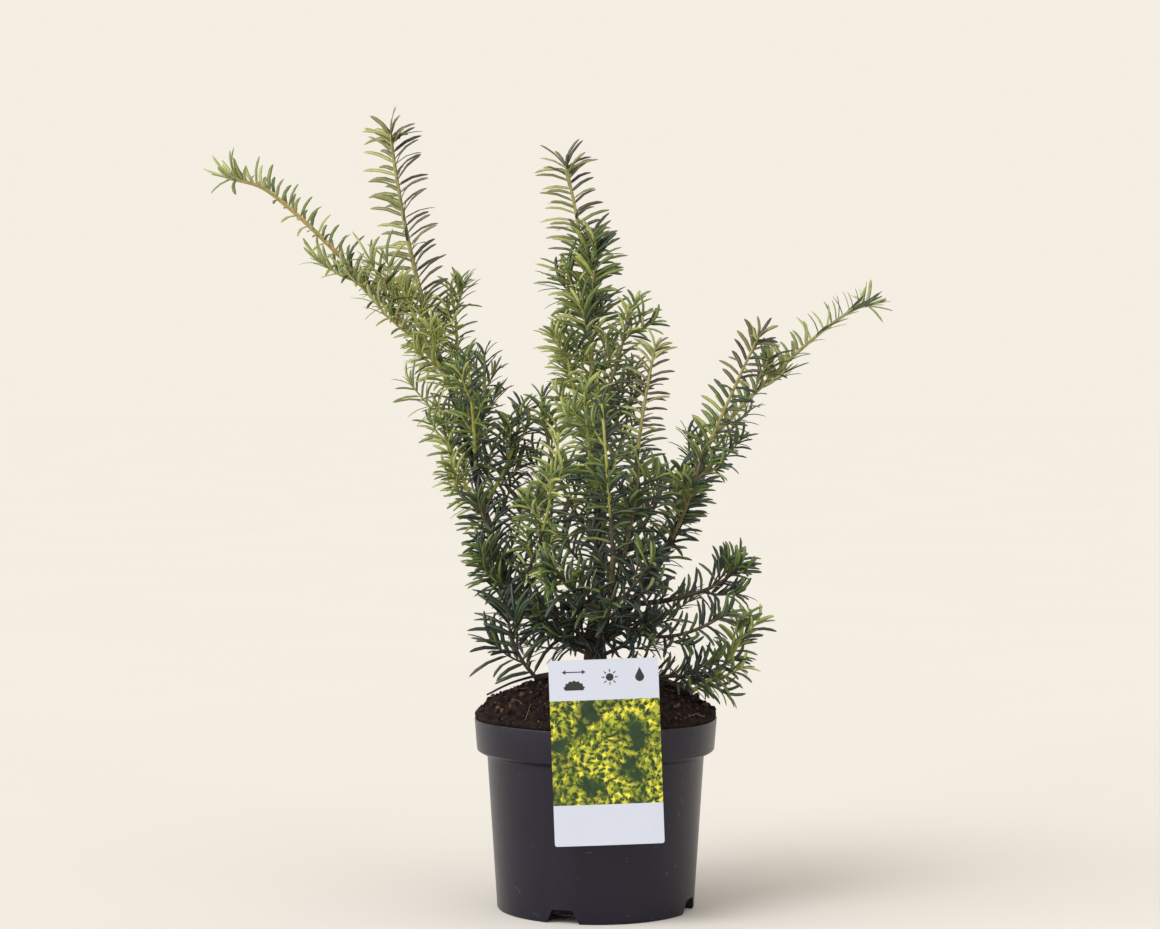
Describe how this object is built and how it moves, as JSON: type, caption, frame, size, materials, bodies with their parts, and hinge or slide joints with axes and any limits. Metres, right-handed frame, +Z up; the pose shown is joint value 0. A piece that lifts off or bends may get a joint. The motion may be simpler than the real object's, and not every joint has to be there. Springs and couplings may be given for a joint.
{
  "type": "potted english yew",
  "caption": "Young multi-stem English yew with arching needle shoots, standing in its round black nursery pot with potting soil and a plain picture label.",
  "frame": {"origin": "middle of the pot's flat underside", "axes": "+Z up, the label faces -Y, the arching left shoot reaches towards -X"},
  "size_m": [0.4926, 0.219, 0.568],
  "materials": {
    "pot": "satin black moulded nursery plastic",
    "soil": "dark brown fibrous peat potting soil, matt",
    "label": null,
    "bark": "young yew stems, red-brown below and yellow-green above",
    "foliage": "glossy dark to yellow-green flat needles"
  },
  "bodies": {
    "root": {"pot": "pot", "potting_soil": "soil", "plant_label": "label", "trunk": "bark", "bough_left": "bark", "stem_left": "bark", "bough_centre": "bark", "bough_inner": "bark", "bough_right": "bark", "bough_front": "bark", "bough_back": "bark", "bough_low_right": "bark", "bough_rim_right": "bark", "bough_low_left": "bark", "dead_twig_left": "bark", "leader_left": "foliage", "arch_left": "foliage", "column_left_inner": "foliage", "column_left_outer": "foliage", "column_left_front": "foliage", "column_left_back": "foliage", "column_left_top": "foliage", "column_left_crest": "foliage", "shoot_front_left": "foliage", "spray_left_low": "foliage", "leader_centre": "foliage", "centre_top_left": "foliage", "centre_top_right": "foliage", "centre_left": "foliage", "centre_front": "foliage", "centre_back": "foliage", "centre_right": "foliage", "leader_inner": "foliage", "inner_front": "foliage", "arch_right": "foliage", "side_right": "foliage", "side_right_back": "foliage", "right_front": "foliage", "right_back": "foliage", "spray_low_right": "foliage", "spray_droop_right": "foliage", "spray_rim_right": "foliage", "spray_rim_hanging": "foliage", "spray_rim_left": "foliage", "leader_front": "foliage", "spray_front_left": "foliage", "spray_front_right": "foliage", "leader_back": "foliage", "spray_back_left": "foliage", "spray_back_right": "foliage", "spray_low_front_left": "foliage", "spray_low_front_right": "foliage", "spray_low_back_left": "foliage", "spray_low_back_right": "foliage"}
  },
  "joints": []
}
